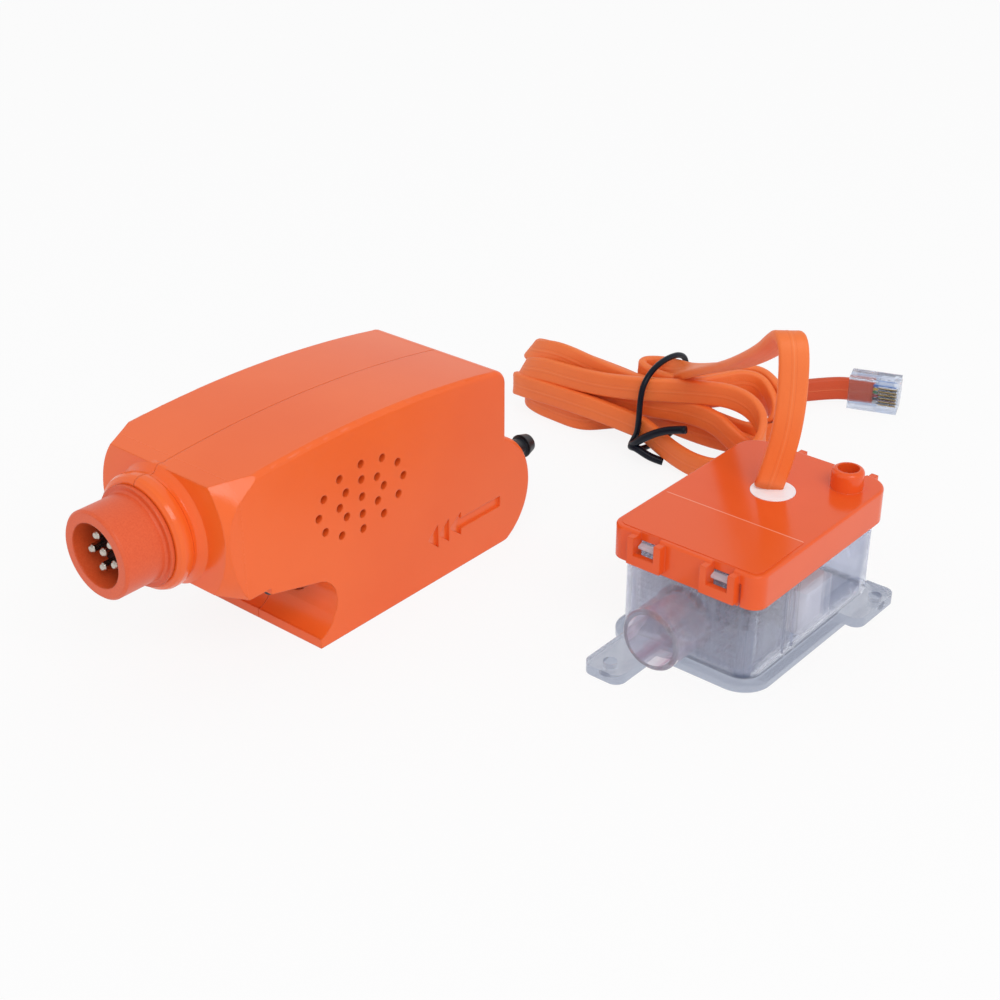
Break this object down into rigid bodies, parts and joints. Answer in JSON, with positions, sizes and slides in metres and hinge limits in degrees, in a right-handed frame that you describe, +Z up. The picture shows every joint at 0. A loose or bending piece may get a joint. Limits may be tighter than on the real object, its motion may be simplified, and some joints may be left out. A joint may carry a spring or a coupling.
{
  "type": "condensate pump",
  "caption": "Piston condensate pump in a clamshell housing with a round connector, and a clear float reservoir with a lid, inlet tube and flat sensor cable tied in a bundle.",
  "frame": {"origin": "on the floor under the middle of the two standing units, the free cable left out", "axes": "+Y from the connector end to the hose barb end of both units, +X from the pump to the reservoir, +Z up"},
  "size_m": [0.1354, 0.2402, 0.068],
  "materials": {
    "housing": "satin moulded orange",
    "conn_orange": "satin orange",
    "pins": "nickel plated",
    "black_plastic": "black moulding",
    "steel_tube": "stainless tube",
    "piston_steel": "ground magnetic steel",
    "spring_steel": "spring wire",
    "ball": "rubber ball",
    "nylon": "natural nylon",
    "copper": "varnished copper wire",
    "yoke_steel": "zinc plated steel",
    "mount_rubber": "soft rubber",
    "board": "glass-epoxy board",
    "parts_black": "component bodies",
    "jack_black": "black moulding",
    "gold": "gold flash",
    "clear_tank": "clear tinted polycarbonate",
    "clear_plug": "clear polycarbonate",
    "smoke_strainer": "translucent moulding",
    "float_pale": "closed-cell foam",
    "ferrite": "sintered ferrite",
    "lid": "glossy moulded orange",
    "white_resin": "white potting resin",
    "label_film": "clear film over orange",
    "cable": "flat orange cable jacket",
    "tie": "black coated wire",
    "screw_steel": "zinc plated"
  },
  "bodies": {
    "pump_and_tank": {"housing_left": "housing", "housing_right": "housing", "connector_shell": "conn_orange", "pin_carrier": "black_plastic", "connector_pins": "pins", "outlet_fitting": "black_plastic", "inlet_fitting": "black_plastic", "pump_cylinder": "steel_tube", "piston_spring_front": "spring_steel", "piston_spring_rear": "spring_steel", "outlet_spring": "spring_steel", "inlet_spring": "spring_steel", "coil_bobbin": "nylon", "coil_winding": "copper", "yoke": "yoke_steel", "rubber_mount_front": "mount_rubber", "rubber_mount_rear": "mount_rubber", "thermal_cutout": "parts_black", "circuit_board": "board", "board_parts": "parts_black", "sensor_jack": "jack_black", "jack_contacts": "gold", "housing_screws": "screw_steel", "tank": "clear_tank", "strainer": "smoke_strainer"},
    "piston": {"piston": "piston_steel"},
    "outlet_ball": {"outlet_ball": "ball"},
    "inlet_ball": {"inlet_ball": "ball"},
    "float": {"float": "float_pale", "float_magnet": "ferrite"},
    "lid": {"lid": "lid", "sensor_board": "board", "potting_disc": "white_resin", "lid_label": "label_film", "cable_riser": "cable", "cable_hank": "cable", "cable_tail": "cable", "cable_tie": "tie", "plug_body": "clear_plug", "plug_contacts": "gold"},
    "plug_latch": {"plug_latch": "clear_plug"}
  },
  "joints": [
    {"name": "piston_slide", "type": "slide", "parent": "pump_and_tank", "child": "piston", "axis": [0, 1, 0], "range_m": [-0.002, 0.002], "stiffness_N_per_m": 1500, "deforming": ["piston_spring_front", "piston_spring_rear"]},
    {"name": "outlet_ball_lift", "type": "slide", "parent": "pump_and_tank", "child": "outlet_ball", "axis": [0, -1, 0], "range_m": [0, 0.001], "stiffness_N_per_m": 40, "springref_m": -0.001, "deforming": ["outlet_spring"]},
    {"name": "inlet_ball_lift", "type": "slide", "parent": "pump_and_tank", "child": "inlet_ball", "axis": [0, -1, 0], "range_m": [0, 0.001], "stiffness_N_per_m": 40, "springref_m": -0.001, "deforming": ["inlet_spring"]},
    {"name": "float_rise", "type": "slide", "parent": "pump_and_tank", "child": "float", "axis": [0, 0, 1], "range_m": [0, 0.009]},
    {"name": "lid_lift", "type": "slide", "parent": "pump_and_tank", "child": "lid", "axis": [0, 0, 1], "range_m": [0, 0.03]},
    {"name": "plug_latch_press", "type": "hinge", "parent": "lid", "child": "plug_latch", "pos_m": [0.00796, 0.16139, 0.00487], "axis": [0, 0, 1], "range_deg": [0, 9], "stiffness_Nm_per_rad": 0.02}
  ]
}
